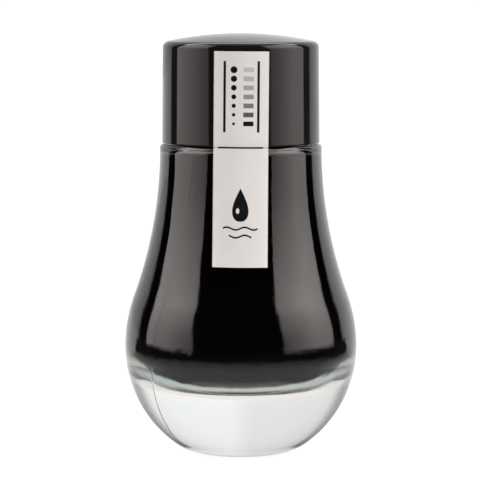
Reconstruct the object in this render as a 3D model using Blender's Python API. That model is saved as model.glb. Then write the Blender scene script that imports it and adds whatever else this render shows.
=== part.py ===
"""Ink bottle: a bulb-shaped clear glass bottle with a thick clear foot, filled
with ink, closed by a glossy two-part screw cap and sealed with one paper strip
that runs from the cap down over the joint.

Pieces
  glass_bottle   moulded glass, thick foot, shoulder ledge, threaded neck
  ink_fill       the ink, filling the cavity up into the neck
  cap_shell      glossy overcap, slightly domed
  cap_insert     threaded sleeve pressed inside the overcap, with outer ribs
  cap_liner      foam sealing disc that lies on the glass rim
  cap_label      upper length of the seal strip, stuck to the cap
  bottle_label   lower length of the seal strip, stuck to the glass

Frame: +Z up, origin at the centre of the foot, the label faces -Y.
Sizes below are millimetres; meshes are made in metres.
"""

import math

import bmesh
import bpy
from mathutils import Vector

MM = 0.001

# ----------------------------------------------------------------- resolution
SEGMENTS = 48              # facets per turn on every turned piece

# -------------------------------------------------------------- glass outside
BELLY_R = 20.07            # widest radius
BELLY_Z = 18.2             # height of the widest ring
BOWL_ARC_R = 20.8          # arc below the belly
HEEL_ARC_R = 8.0           # arc that rolls into the foot
FLANK_ARC_R = 75.0         # long hollow arc up to the shoulder
SHOULDER_R = 13.97         # radius just under the ledge
FLANK_TOP_Z = 52.7         # where the flank runs vertical
LEDGE_Z = 53.0             # ledge that the cap closes down to
LEDGE_EDGE_R = 0.6         # rounding of the ledge's outer edge
FOOT_RING_IN_R = 4.6       # the foot is a flat ring outside this radius
FOOT_PUSH_UP = 0.5         # hollow inside the foot ring

# ----------------------------------------------------------------------- neck
NECK_R = 8.8
NECK_ROOT_FILLET = 0.8
RIM_Z = 66.8
RIM_EDGE_R = 0.5
BORE_R = 6.6

# --------------------------------------------------------------- glass inside
WALL = 2.4                 # side wall
CAVITY_FLOOR_Z = 11.6      # thick foot
CAVITY_CORNER_R = 10.5     # floor to side wall
CEILING_Z = 51.8           # underside of the shoulder
CEILING_CORNER_R = 1.5

# ------------------------------------------------------------------------ ink
GAP = 0.3                  # clearance kept between pieces that touch
INK_TOP_Z = 55.0

# --------------------------------------------------------------------- thread
PITCH = 3.175
NECK_CREST_R = 9.9
NECK_THREAD_TURNS = 1.5
NECK_THREAD_START_Z = 59.9
CAP_CREST_R = 9.15
CAP_THREAD_TURNS = 1.25
CAP_THREAD_LEAD = 60.0     # degrees after the start of the neck's thread
CAP_THREAD_DROP = 1.25     # the cap's thread lies this far under the neck's
RIDGE_ROOT_W = 1.5
RIDGE_CREST_W = 0.7
RIDGE_BURY = 0.3
RIDGE_FADE = 30.0          # degrees over which a ridge dies away at its ends

# ------------------------------------------------------------------ cap shell
CAP_BOTTOM_Z = 53.3
CAP_TOP_Z = 72.0
CAP_R_BOTTOM = 13.55
CAP_R_TOP = 13.4
CAP_EDGE_R = 1.2
CAP_DOME_R = 60.1
CAP_LIP_R = 0.15
SHELL_IN_R = 11.85
SHELL_ROOF_Z = 69.9
SHELL_ROOF_FILLET = 1.0

# ----------------------------------------------------------------- cap insert
INSERT_R = 11.0
INSERT_BORE_R = 10.15
INSERT_BOTTOM_Z = 53.9
INSERT_PANEL_Z = 68.4      # underside of its top panel
RIB_COUNT = 8
RIB_W = 1.1
RIB_BOTTOM_Z = 55.0
RIB_TOP_Z = 67.6

# ------------------------------------------------------------------ cap liner
LINER_R = 9.85
LINER_T = 1.0

# ---------------------------------------------------------------------- label
LABEL_W = 9.45             # flat width of the strip
LABEL_TOP_Z = 69.25
LABEL_BOTTOM_Z = 33.4
LABEL_CUT_Z = 53.2         # the strip is cut where the cap meets the glass
LABEL_LIFT = 0.15          # clearance under the strip
LABEL_T = 0.2
LABEL_LEAN = 0.0075        # sideways run per unit of height
LABEL_COLUMNS = 8


# ------------------------------------------------------------------- helpers
def arc(cx, cz, radius, start, end, count):
    """Points on a circle from angle start to end in degrees, both included."""
    points = []
    for i in range(count + 1):
        a = math.radians(start + (end - start) * i / count)
        points.append((cx + radius * math.cos(a), cz + radius * math.sin(a)))
    return points


def joined(*runs):
    """One polyline from several, without repeated neighbours."""
    out = []
    for run in runs:
        for p in run:
            if not out or math.hypot(p[0] - out[-1][0], p[1] - out[-1][1]) > 1e-4:
                out.append(p)
    return out


def new_object(name, bm, material, origin_z=0.0, sharp=35.0):
    """A mesh object whose origin sits on the bottle's axis at origin_z."""
    bmesh.ops.translate(bm, verts=bm.verts, vec=Vector((0.0, 0.0, -origin_z)))
    bmesh.ops.scale(bm, verts=bm.verts, vec=Vector((MM, MM, MM)))
    bmesh.ops.recalc_face_normals(bm, faces=bm.faces)
    mesh = bpy.data.meshes.new(name)
    bm.to_mesh(mesh)
    bm.free()
    mesh.shade_smooth()
    mesh.set_sharp_from_angle(angle=math.radians(sharp))
    if material is not None:
        mesh.materials.append(material)
    ob = bpy.data.objects.new(name, mesh)
    ob.location = (0.0, 0.0, origin_z * MM)
    bpy.context.scene.collection.objects.link(ob)
    return ob


def turned(points):
    """Spin a closed half-section (r, z) into a solid about Z."""
    bm = bmesh.new()
    verts = [bm.verts.new((r, 0.0, z)) for r, z in points]
    for a, b in zip(verts, verts[1:]):
        bm.edges.new((a, b))
    if points[0][0] > 1e-6:
        bm.edges.new((verts[-1], verts[0]))
    bmesh.ops.spin(bm, geom=bm.verts[:] + bm.edges[:], cent=(0, 0, 0),
                   axis=(0, 0, 1), dvec=(0, 0, 0), angle=2 * math.pi,
                   steps=SEGMENTS, use_merge=True, use_duplicate=False)
    bmesh.ops.remove_doubles(bm, verts=bm.verts, dist=1e-4)
    bmesh.ops.dissolve_degenerate(bm, dist=1e-5, edges=bm.edges[:])
    return bm


def ridge(base_r, crest_r, start_z, start_deg, turns):
    """A trapezoid swept up a right-hand helix, dying away at both ends."""
    side = 1.0 if crest_r > base_r else -1.0
    height = abs(crest_r - base_r)
    steps = int(round(turns * SEGMENTS))
    slope = (RIDGE_ROOT_W - RIDGE_CREST_W) / 2 / height
    bm = bmesh.new()
    rings = []
    for i in range(steps + 1):
        turned_by = 360.0 * turns * i / steps
        a = math.radians(start_deg + turned_by)
        z = start_z + PITCH * turned_by / 360.0
        from_end = min(turned_by, 360.0 * turns - turned_by)
        grow = min(1.0, from_end / RIDGE_FADE)
        grow = grow * grow * (3 - 2 * grow)
        top = -0.12 + (height + 0.12) * grow      # height above the wall
        section = ((-RIDGE_BURY, -1), (top, -1), (top, 1), (-RIDGE_BURY, 1))
        ring = []
        for h, s in section:
            half = RIDGE_ROOT_W / 2 - slope * h
            r = base_r + side * h
            ring.append(bm.verts.new((r * math.cos(a), r * math.sin(a), z + s * half)))
        rings.append(ring)
    for a, b in zip(rings, rings[1:]):
        for k in range(4):
            bm.faces.new((a[k], a[(k + 1) % 4], b[(k + 1) % 4], b[k]))
    bm.faces.new(rings[0])
    bm.faces.new(list(reversed(rings[-1])))
    return bm


def add_by_union(ob, helper):
    """Join a helper solid to an object; the helper itself is a hidden guide."""
    helper.hide_render = True
    helper.display_type = 'WIRE'
    mod = ob.modifiers.new("join_" + helper.name, 'BOOLEAN')
    mod.operation = 'UNION'
    mod.solver = 'EXACT'
    mod.object = helper


def material(name, color, roughness, metallic=0.0, transmission=0.0, ior=1.5):
    mat = bpy.data.materials.new(name)
    mat.use_nodes = True
    shader = mat.node_tree.nodes["Principled BSDF"]
    shader.inputs["Base Color"].default_value = (*color, 1.0)
    shader.inputs["Roughness"].default_value = roughness
    shader.inputs["Metallic"].default_value = metallic
    shader.inputs["Transmission Weight"].default_value = transmission
    shader.inputs["IOR"].default_value = ior
    mat.diffuse_color = (*color, 1.0)
    return mat


# ------------------------------------------------------- the glass's outlines
BOWL_C = (BELLY_R - BOWL_ARC_R, BELLY_Z)
FOOT_R = BOWL_C[0] + math.sqrt((BOWL_ARC_R - HEEL_ARC_R) ** 2
                               - (BELLY_Z - HEEL_ARC_R) ** 2)
# the arc above the belly is the one that meets both the belly and the flank
_a = SHOULDER_R + FLANK_ARC_R - BELLY_R
_b = FLANK_TOP_Z - BELLY_Z
CHEST_ARC_R = (FLANK_ARC_R ** 2 - _a ** 2 - _b ** 2) / (2 * (_a - FLANK_ARC_R))
CHEST_C = (BELLY_R - CHEST_ARC_R, BELLY_Z)
FLANK_C = (SHOULDER_R + FLANK_ARC_R, FLANK_TOP_Z)
CHEST_END = math.degrees(math.atan2(FLANK_C[1] - CHEST_C[1], FLANK_C[0] - CHEST_C[0]))


def flank_r(z, offset=0.0):
    """Radius of the flank at a height, moved outward by offset."""
    return FLANK_C[0] - math.sqrt((FLANK_ARC_R - offset) ** 2 - (FLANK_TOP_Z - z) ** 2)


def glass_r(z, offset=0.0):
    """Radius of the glass outside between the belly and the ledge."""
    if z >= FLANK_TOP_Z:
        return SHOULDER_R + offset
    meet = CHEST_C[1] + (CHEST_ARC_R + offset) * math.sin(math.radians(CHEST_END))
    if z < meet:
        return CHEST_C[0] + math.sqrt((CHEST_ARC_R + offset) ** 2 - (z - CHEST_C[1]) ** 2)
    return flank_r(z, offset)


def outside():
    """Half-section of the glass outside, from the foot's centre to the rim."""
    dome_r = (FOOT_RING_IN_R ** 2 + FOOT_PUSH_UP ** 2) / (2 * FOOT_PUSH_UP)
    half = math.degrees(math.asin(FOOT_RING_IN_R / dome_r))
    push_up = arc(0.0, FOOT_PUSH_UP - dome_r, dome_r, 90.0, 90.0 - half, 2)
    heel_end = math.degrees(math.atan2(HEEL_ARC_R - BOWL_C[1], FOOT_R - BOWL_C[0]))
    heel = arc(FOOT_R, HEEL_ARC_R, HEEL_ARC_R, -90.0, heel_end, 3)
    bowl = arc(*BOWL_C, BOWL_ARC_R, heel_end, 0.0, 5)
    chest = arc(*CHEST_C, CHEST_ARC_R, 0.0, CHEST_END, 4)
    edge_z = LEDGE_Z - LEDGE_EDGE_R
    flank_start = 180.0 + CHEST_END
    flank_end = 180.0 + math.degrees(math.asin((FLANK_TOP_Z - edge_z) / FLANK_ARC_R))
    flank = arc(*FLANK_C, FLANK_ARC_R, flank_start, flank_end, 7)
    edge = arc(SHOULDER_R - LEDGE_EDGE_R, edge_z, LEDGE_EDGE_R, 0.0, 90.0, 3)
    root = arc(NECK_R + NECK_ROOT_FILLET, LEDGE_Z + NECK_ROOT_FILLET,
               NECK_ROOT_FILLET, 270.0, 180.0, 2)
    rim = arc(NECK_R - RIM_EDGE_R, RIM_Z - RIM_EDGE_R, RIM_EDGE_R, 0.0, 90.0, 2)
    return joined(push_up, heel, bowl, chest, flank, edge, root, rim)


def inside(offset=0.0):
    """Half-section of the cavity from the neck's bore to the floor's centre.

    offset moves the whole outline into the cavity, for the ink.
    """
    centre_z = CEILING_Z - CEILING_CORNER_R
    centre_r = FLANK_C[0] - math.sqrt((FLANK_ARC_R + WALL + CEILING_CORNER_R) ** 2
                                      - (FLANK_TOP_Z - centre_z) ** 2)
    tilt = math.degrees(math.atan2(FLANK_TOP_Z - centre_z, FLANK_C[0] - centre_r))
    throat_r = centre_r - BORE_R
    throat = arc(centre_r, CEILING_Z + throat_r, throat_r + offset, 180.0, 270.0, 4)
    ceiling = arc(centre_r, centre_z, CEILING_CORNER_R - offset, 90.0, tilt, 3)
    flank = arc(*FLANK_C, FLANK_ARC_R + WALL + offset, 180.0 + tilt,
                180.0 + CHEST_END, 5)
    chest_r = CHEST_ARC_R - WALL
    corner_z = CAVITY_FLOOR_Z + CAVITY_CORNER_R
    corner_r = CHEST_C[0] + math.sqrt((chest_r - CAVITY_CORNER_R) ** 2
                                      - (corner_z - CHEST_C[1]) ** 2)
    meet = math.degrees(math.atan2(corner_z - CHEST_C[1], corner_r - CHEST_C[0]))
    chest = arc(*CHEST_C, chest_r - offset, CHEST_END, meet, 3)
    corner = arc(corner_r, corner_z, CAVITY_CORNER_R - offset, meet, -90.0, 7)
    return joined(throat, ceiling, flank, chest, corner,
                  [(0.0, CAVITY_FLOOR_Z + offset)])


# --------------------------------------------------------------------- pieces
def make_glass(mat):
    mouth = arc(BORE_R + RIM_EDGE_R, RIM_Z - RIM_EDGE_R, RIM_EDGE_R, 90.0, 180.0, 2)
    ob = new_object("glass_bottle", turned(joined(outside(), mouth, inside())), mat)
    thread = new_object("neck_thread_guide",
                        ridge(NECK_R, NECK_CREST_R, NECK_THREAD_START_Z, 0.0,
                              NECK_THREAD_TURNS), None)
    add_by_union(ob, thread)
    return ob


def make_ink(mat):
    outline = joined([(0.0, INK_TOP_Z), (BORE_R - GAP, INK_TOP_Z)], inside(GAP))
    return new_object("ink_fill", turned(outline), mat)


def make_shell(mat, origin_z):
    dome_c = CAP_TOP_Z - CAP_DOME_R
    edge_r = CAP_R_TOP - CAP_EDGE_R
    edge_z = dome_c + math.sqrt((CAP_DOME_R - CAP_EDGE_R) ** 2 - edge_r ** 2)
    lean = math.degrees(math.atan2(edge_z - dome_c, edge_r))
    dome = arc(0.0, dome_c, CAP_DOME_R, 90.0, lean, 4)
    edge = arc(edge_r, edge_z, CAP_EDGE_R, lean, 0.0, 4)
    lip_out = arc(CAP_R_BOTTOM - CAP_LIP_R, CAP_BOTTOM_Z + CAP_LIP_R, CAP_LIP_R,
                  0.0, -90.0, 2)
    lip_in = [(SHELL_IN_R + CAP_LIP_R, CAP_BOTTOM_Z),
              (SHELL_IN_R, CAP_BOTTOM_Z + CAP_LIP_R)]
    roof = arc(SHELL_IN_R - SHELL_ROOF_FILLET, SHELL_ROOF_Z - SHELL_ROOF_FILLET,
               SHELL_ROOF_FILLET, 0.0, 90.0, 2)
    outline = joined(dome, edge, lip_out, lip_in, roof, [(0.0, SHELL_ROOF_Z)])
    return new_object("cap_shell", turned(outline), mat, origin_z)


def make_insert(mat, origin_z):
    top_z = SHELL_ROOF_Z - GAP
    corner = SHELL_ROOF_FILLET
    top = arc(INSERT_R - corner, top_z - corner, corner, 90.0, 0.0, 2)
    outline = joined(
        [(0.0, top_z)], top,
        [(INSERT_R, INSERT_BOTTOM_Z + 0.3), (INSERT_R - 0.25, INSERT_BOTTOM_Z),
         (INSERT_BORE_R + 0.25, INSERT_BOTTOM_Z), (INSERT_BORE_R, INSERT_BOTTOM_Z + 0.4),
         (INSERT_BORE_R, INSERT_PANEL_Z), (0.0, INSERT_PANEL_Z)])
    ob = new_object("cap_insert", turned(outline), mat, origin_z)

    start = CAP_THREAD_LEAD
    start_z = NECK_THREAD_START_Z + PITCH * start / 360.0 - CAP_THREAD_DROP
    thread = new_object("cap_thread_guide",
                        ridge(INSERT_BORE_R, CAP_CREST_R, start_z, start,
                              CAP_THREAD_TURNS), None, origin_z)
    add_by_union(ob, thread)

    # ribs that grip the overcap, one body of separate bars before the union
    bm = bmesh.new()
    reach = SHELL_IN_R - GAP
    inner = INSERT_R - 0.4
    for i in range(RIB_COUNT):
        made = bmesh.ops.create_cube(bm, size=1.0)["verts"]
        bmesh.ops.scale(bm, verts=made, vec=Vector((reach - inner, RIB_W,
                                                    RIB_TOP_Z - RIB_BOTTOM_Z)))
        bmesh.ops.translate(bm, verts=made, vec=Vector(((reach + inner) / 2, 0.0,
                                                        (RIB_TOP_Z + RIB_BOTTOM_Z) / 2)))
        turn = (i + 0.5) * 2 * math.pi / RIB_COUNT
        c, s = math.cos(turn), math.sin(turn)
        for v in made:
            x, y = v.co.x, v.co.y
            v.co.x, v.co.y = c * x - s * y, s * x + c * y
    ribs = new_object("cap_rib_guide", bm, None, origin_z)
    add_by_union(ob, ribs)
    return ob


def make_liner(mat, origin_z):
    bottom = RIM_Z + GAP
    outline = [(0.0, bottom + LINER_T), (LINER_R - 0.15, bottom + LINER_T),
               (LINER_R, bottom + LINER_T - 0.15), (LINER_R, bottom + 0.15),
               (LINER_R - 0.15, bottom), (0.0, bottom)]
    return new_object("cap_liner", turned(outline), mat, origin_z)


def cap_r(z):
    """Radius of the overcap's side at a height."""
    t = (z - CAP_BOTTOM_Z) / (CAP_TOP_Z - CAP_EDGE_R - CAP_BOTTOM_Z)
    return CAP_R_BOTTOM + (CAP_R_TOP - CAP_R_BOTTOM) * t


def make_strip(name, mat, radius_at, bottom, top, rows, origin_z):
    """A strip of the seal wrapped on the front, thickened outwards."""
    bm = bmesh.new()
    grid = []
    for j in range(rows + 1):
        z = bottom + (top - bottom) * j / rows
        r = radius_at(z)
        shift = LABEL_LEAN * (z - LABEL_CUT_Z)
        line = []
        for i in range(LABEL_COLUMNS + 1):
            along = LABEL_W * (i / LABEL_COLUMNS - 0.5) + shift
            a = -math.pi / 2 + along / r
            line.append(bm.verts.new((r * math.cos(a), r * math.sin(a), z)))
        grid.append(line)
    for low, high in zip(grid, grid[1:]):
        for i in range(LABEL_COLUMNS):
            bm.faces.new((low[i], low[i + 1], high[i + 1], high[i]))
    sheet = new_object(name, bm, mat, origin_z)
    if sheet.data.polygons[0].normal.y > 0:
        sheet.data.flip_normals()
    mod = sheet.modifiers.new("thickness", 'SOLIDIFY')
    mod.thickness = LABEL_T * MM
    mod.offset = 1.0
    return sheet


def main():
    for ob in list(bpy.data.objects):
        bpy.data.objects.remove(ob, do_unlink=True)

    glass = material("clear_glass", (0.93, 0.95, 0.94), 0.02, transmission=1.0, ior=1.52)
    ink = material("dark_ink", (0.006, 0.006, 0.008), 0.05, ior=1.34)
    gloss = material("black_gloss_plastic", (0.012, 0.012, 0.013), 0.08)
    sleeve = material("black_thread_plastic", (0.02, 0.02, 0.021), 0.45)
    foam = material("liner_foam", (0.82, 0.82, 0.80), 0.8)
    paper = material("seal_paper", (0.60, 0.60, 0.60), 0.38, metallic=0.25)
    paper_low = material("seal_paper_lower", (0.62, 0.62, 0.62), 0.38, metallic=0.25)

    make_glass(glass)
    make_ink(ink)

    axis = bpy.data.objects.new("cap_axis", None)
    axis.location = (0.0, 0.0, 0.0)
    bpy.context.scene.collection.objects.link(axis)
    pieces = [
        make_shell(gloss, CAP_BOTTOM_Z),
        make_insert(sleeve, CAP_BOTTOM_Z),
        make_liner(foam, CAP_BOTTOM_Z),
        make_strip("cap_label", paper, lambda z: cap_r(z) + LABEL_LIFT,
                   LABEL_CUT_Z + GAP / 2, LABEL_TOP_Z, 2, CAP_BOTTOM_Z),
    ]
    for ob in pieces:
        ob.parent = axis
    for name in ("cap_thread_guide", "cap_rib_guide"):
        bpy.data.objects[name].parent = axis

    make_strip("bottle_label", paper_low, lambda z: glass_r(z, LABEL_LIFT),
               LABEL_BOTTOM_Z, LABEL_CUT_Z - GAP / 2, 10, 0.0)
    bpy.context.view_layer.update()


main()
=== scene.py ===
"""Looks of the ink bottle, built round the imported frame."""

import math

import bpy
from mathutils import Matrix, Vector, noise


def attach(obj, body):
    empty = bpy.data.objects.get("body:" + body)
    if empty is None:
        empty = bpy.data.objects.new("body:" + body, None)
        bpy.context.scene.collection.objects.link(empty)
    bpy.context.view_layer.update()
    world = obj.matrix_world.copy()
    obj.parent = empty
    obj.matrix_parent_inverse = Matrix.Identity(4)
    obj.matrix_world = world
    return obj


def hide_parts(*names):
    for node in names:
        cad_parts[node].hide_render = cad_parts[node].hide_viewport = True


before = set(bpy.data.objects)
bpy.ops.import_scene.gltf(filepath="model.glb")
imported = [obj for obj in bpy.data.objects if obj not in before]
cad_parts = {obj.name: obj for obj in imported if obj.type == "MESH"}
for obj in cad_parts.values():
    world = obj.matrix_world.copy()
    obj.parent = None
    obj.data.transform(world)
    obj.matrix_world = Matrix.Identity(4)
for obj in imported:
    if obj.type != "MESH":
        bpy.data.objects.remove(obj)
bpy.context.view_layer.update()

MM = 0.001

# ------------------------------------------------------------------ dimensions
# the same outline as the solids, in millimetres
BELLY_R, BELLY_Z = 20.07, 18.2
BOWL_ARC_R, HEEL_ARC_R, FLANK_ARC_R = 20.8, 8.0, 75.0
SHOULDER_R, FLANK_TOP_Z = 13.97, 52.7
LEDGE_Z, LEDGE_EDGE_R = 53.1, 0.6
FOOT_RING_IN_R, FOOT_PUSH_UP = 4.6, 0.5
NECK_R, NECK_ROOT_FILLET, RIM_Z, RIM_EDGE_R, BORE_R = 8.8, 0.8, 66.8, 0.5, 6.6
WALL, CAVITY_FLOOR_Z, CAVITY_CORNER_R, CAVITY_FLOOR_R = 2.4, 11.5, 10.2, 50.0
CEILING_Z, CEILING_CORNER_R = 51.8, 1.5
INK_TOP_Z = 55.0
PITCH = 3.175
NECK_CREST_R, NECK_TURNS, NECK_START_Z = 9.9, 1.5, 59.9
CAP_CREST_R, CAP_TURNS, CAP_LEAD, CAP_DROP = 9.15, 1.25, 60.0, 1.25
ROOT_W, CREST_W, FADE = 1.5, 0.7, 30.0
CAP_BOTTOM_Z, CAP_TOP_Z = 53.3, 72.0
CAP_R_BOTTOM, CAP_R_TOP, CAP_EDGE_R, CAP_DOME_R, CAP_LIP_R = 13.55, 13.4, 1.2, 60.1, 0.15
SHELL_IN_R, SHELL_ROOF_Z, SHELL_ROOF_FILLET = 11.85, 69.9, 1.0
INSERT_R, INSERT_BORE_R, INSERT_BOTTOM_Z, INSERT_PANEL_Z = 11.0, 10.15, 53.9, 68.4
RIB_COUNT, RIB_W, RIB_BOTTOM_Z, RIB_TOP_Z = 8, 1.1, 55.0, 67.6
LINER_R, LINER_T = 9.85, 1.0
LABEL_W, LABEL_TOP_Z, LABEL_BOTTOM_Z, LABEL_CUT_Z = 9.33, 69.25, 33.4, 53.2
LABEL_LEAN = 0.0088
SEAM_DEG, SEAM_TWIST = 40.0, 0.39   # mould seam, degrees from the front at z 39, and per mm
SEAM_H, SEAM_HALF_DEG = 0.05, 0.55

# ----------------------------------------------------------------- mesh helpers


def arc(cx, cz, radius, start, end, count):
    return [(cx + radius * math.cos(math.radians(start + (end - start) * i / count)),
             cz + radius * math.sin(math.radians(start + (end - start) * i / count)))
            for i in range(count + 1)]


def line(a, b, count):
    return [(a[0] + (b[0] - a[0]) * i / count, a[1] + (b[1] - a[1]) * i / count)
            for i in range(count + 1)]


def joined(*runs):
    out = []
    for run in runs:
        for p in run:
            if not out or math.hypot(p[0] - out[-1][0], p[1] - out[-1][1]) > 1e-4:
                out.append(p)
    return out


def mesh_object(name, verts, faces, material, sharp=None, uvs=None):
    mesh = bpy.data.meshes.new(name)
    mesh.from_pydata([Vector(v) * MM for v in verts], [], faces)
    mesh.update()
    mesh.shade_smooth()
    if sharp is not None:
        mesh.set_sharp_from_angle(angle=math.radians(sharp))
    if uvs is not None:
        layer = mesh.uv_layers.new(name="Strip")
        for loop in mesh.loops:
            layer.data[loop.index].uv = uvs[loop.vertex_index]
    for m in (material if isinstance(material, (list, tuple)) else [material]):
        mesh.materials.append(m)
    ob = bpy.data.objects.new(name, mesh)
    bpy.context.scene.collection.objects.link(ob)
    return ob


def lathe(name, profile, angles, material, warp=None, sharp=None, closed=False):
    """Turns a half-section. warp(theta, r, z) moves a point to a new (r, z).

    closed joins the last profile point to the first; otherwise the profile
    starts and ends on the axis.
    """
    verts, faces, rings = [], [], []
    n = len(angles)
    for r, z in profile:
        if r < 1e-6:
            rings.append([len(verts)])
            verts.append((0.0, 0.0, z if warp is None else warp(0.0, 0.0, z)[1]))
            continue
        ring = []
        for a in angles:
            rr, zz = (r, z) if warp is None else warp(a, r, z)
            ring.append(len(verts))
            verts.append((rr * math.cos(a), rr * math.sin(a), zz))
        rings.append(ring)
    pairs = list(zip(rings, rings[1:]))
    if closed:
        pairs.append((rings[-1], rings[0]))
    for a, b in pairs:
        for k in range(n):
            k2 = (k + 1) % n
            if len(a) == 1 and len(b) == 1:
                continue
            if len(a) == 1:
                faces.append((a[0], b[k2], b[k]))
            elif len(b) == 1:
                faces.append((a[k], a[k2], b[0]))
            else:
                faces.append((a[k], a[k2], b[k2], b[k]))
    return mesh_object(name, verts, faces, material, sharp)


def outward(ob):
    """Makes the faces point out, by the sign of the enclosed volume."""
    mesh = ob.data
    vol = 0.0
    for p in mesh.polygons:
        vs = [mesh.vertices[i].co for i in p.vertices]
        for i in range(1, len(vs) - 1):
            vol += vs[0].dot(vs[i].cross(vs[i + 1]))
    if vol < 0:
        mesh.flip_normals()
    return ob


def even(count):
    return [2 * math.pi * i / count for i in range(count)]


# -------------------------------------------------------------- glass outlines
BOWL_C = (BELLY_R - BOWL_ARC_R, BELLY_Z)
FOOT_R = BOWL_C[0] + math.sqrt((BOWL_ARC_R - HEEL_ARC_R) ** 2
                               - (BELLY_Z - HEEL_ARC_R) ** 2)
_a = SHOULDER_R + FLANK_ARC_R - BELLY_R
_b = FLANK_TOP_Z - BELLY_Z
CHEST_ARC_R = (FLANK_ARC_R ** 2 - _a ** 2 - _b ** 2) / (2 * (_a - FLANK_ARC_R))
CHEST_C = (BELLY_R - CHEST_ARC_R, BELLY_Z)
FLANK_C = (SHOULDER_R + FLANK_ARC_R, FLANK_TOP_Z)
CHEST_END = math.degrees(math.atan2(FLANK_C[1] - CHEST_C[1], FLANK_C[0] - CHEST_C[0]))


def glass_r(z):
    if z >= FLANK_TOP_Z:
        return SHOULDER_R
    meet = CHEST_C[1] + CHEST_ARC_R * math.sin(math.radians(CHEST_END))
    if z < meet:
        return CHEST_C[0] + math.sqrt(CHEST_ARC_R ** 2 - (z - CHEST_C[1]) ** 2)
    return FLANK_C[0] - math.sqrt(FLANK_ARC_R ** 2 - (FLANK_TOP_Z - z) ** 2)


def outside():
    dome_r = (FOOT_RING_IN_R ** 2 + FOOT_PUSH_UP ** 2) / (2 * FOOT_PUSH_UP)
    half = math.degrees(math.asin(FOOT_RING_IN_R / dome_r))
    push_up = arc(0.0, FOOT_PUSH_UP - dome_r, dome_r, 90.0, 90.0 - half, 8)
    ring = line((FOOT_RING_IN_R, 0.0), (FOOT_R, 0.0), 3)
    heel_end = math.degrees(math.atan2(HEEL_ARC_R - BOWL_C[1], FOOT_R - BOWL_C[0]))
    heel = arc(FOOT_R, HEEL_ARC_R, HEEL_ARC_R, -90.0, heel_end, 16)
    bowl = arc(*BOWL_C, BOWL_ARC_R, heel_end, 0.0, 32)
    chest = arc(*CHEST_C, CHEST_ARC_R, 0.0, CHEST_END, 24)
    edge_z = LEDGE_Z - LEDGE_EDGE_R
    flank_end = 180.0 + math.degrees(math.asin((FLANK_TOP_Z - edge_z) / FLANK_ARC_R))
    flank = arc(*FLANK_C, FLANK_ARC_R, 180.0 + CHEST_END, flank_end, 40)
    edge = arc(SHOULDER_R - LEDGE_EDGE_R, edge_z, LEDGE_EDGE_R, 0.0, 90.0, 8)
    ledge = line(edge[-1], (NECK_R + NECK_ROOT_FILLET, LEDGE_Z), 4)
    root = arc(NECK_R + NECK_ROOT_FILLET, LEDGE_Z + NECK_ROOT_FILLET,
               NECK_ROOT_FILLET, 270.0, 180.0, 6)
    low, high = NECK_START_Z - 1.2, NECK_START_Z + PITCH * NECK_TURNS + 1.2
    neck = joined(line(root[-1], (NECK_R, low), 4), line((NECK_R, low), (NECK_R, high), 56),
                  line((NECK_R, high), (NECK_R, RIM_Z - RIM_EDGE_R), 2))
    rim = arc(NECK_R - RIM_EDGE_R, RIM_Z - RIM_EDGE_R, RIM_EDGE_R, 0.0, 90.0, 6)
    mouth = arc(BORE_R + RIM_EDGE_R, RIM_Z - RIM_EDGE_R, RIM_EDGE_R, 90.0, 180.0, 6)
    return joined(push_up, ring, heel, bowl, chest, flank, edge, ledge, root, neck, rim, mouth)


def inside(offset=0.0, fine=1):
    """The cavity from the bore to the floor's centre, moved outward by -offset."""
    centre_z = CEILING_Z - CEILING_CORNER_R
    centre_r = FLANK_C[0] - math.sqrt((FLANK_ARC_R + WALL + CEILING_CORNER_R) ** 2
                                      - (FLANK_TOP_Z - centre_z) ** 2)
    tilt = math.degrees(math.atan2(FLANK_TOP_Z - centre_z, FLANK_C[0] - centre_r))
    throat_r = centre_r - BORE_R
    throat = arc(centre_r, CEILING_Z + throat_r, throat_r + offset, 180.0, 270.0, 4 * fine)
    ceiling = arc(centre_r, centre_z, CEILING_CORNER_R - offset, 90.0, tilt, 4 * fine)
    flank = arc(*FLANK_C, FLANK_ARC_R + WALL + offset, 180.0 + tilt, 180.0 + CHEST_END, 12 * fine)
    chest_r = CHEST_ARC_R - WALL
    # the corner rolls inside both the wall's arc and the floor's wide arc
    floor_cz = CAVITY_FLOOR_Z + CAVITY_FLOOR_R
    d1, d2 = CAVITY_FLOOR_R - CAVITY_CORNER_R, chest_r - CAVITY_CORNER_R
    dx, dz = CHEST_C[0], CHEST_C[1] - floor_cz
    gap = math.hypot(dx, dz)
    along = (d1 ** 2 - d2 ** 2 + gap ** 2) / (2 * gap)
    off = math.sqrt(d1 ** 2 - along ** 2)
    corner_r = dx / gap * along - dz / gap * off
    corner_z = floor_cz + dz / gap * along + dx / gap * off
    meet = math.degrees(math.atan2(corner_z - CHEST_C[1], corner_r - CHEST_C[0]))
    low = math.degrees(math.atan2(corner_z - floor_cz, corner_r))
    chest = arc(*CHEST_C, chest_r - offset, CHEST_END, meet, 4 * fine)
    corner = arc(corner_r, corner_z, CAVITY_CORNER_R - offset, meet, low, 36)
    floor = arc(0.0, floor_cz, CAVITY_FLOOR_R - offset, low, -90.0, 24)
    floor[-1] = (0.0, floor[-1][1])
    return joined(throat, ceiling, flank, chest, corner, floor)


def wobble(a, r, z):
    """The slow unevenness of the cavity wall, as left by the blowing."""
    x, y = r * math.cos(a), r * math.sin(a)
    low = max(0.0, min(1.0, (30.0 - z) / 14.0))
    d = 0.10 * low * noise.noise(Vector((x * 0.16, y * 0.16, z * 0.2 + 3.1)))
    d += 0.035 * noise.noise(Vector((x * 0.55 + 9.0, y * 0.55, z * 0.4)))
    d += 0.028 * low * low * noise.noise(Vector((x * 1.1, y * 1.1 + 5.0, z * 1.3)))
    return d


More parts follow.
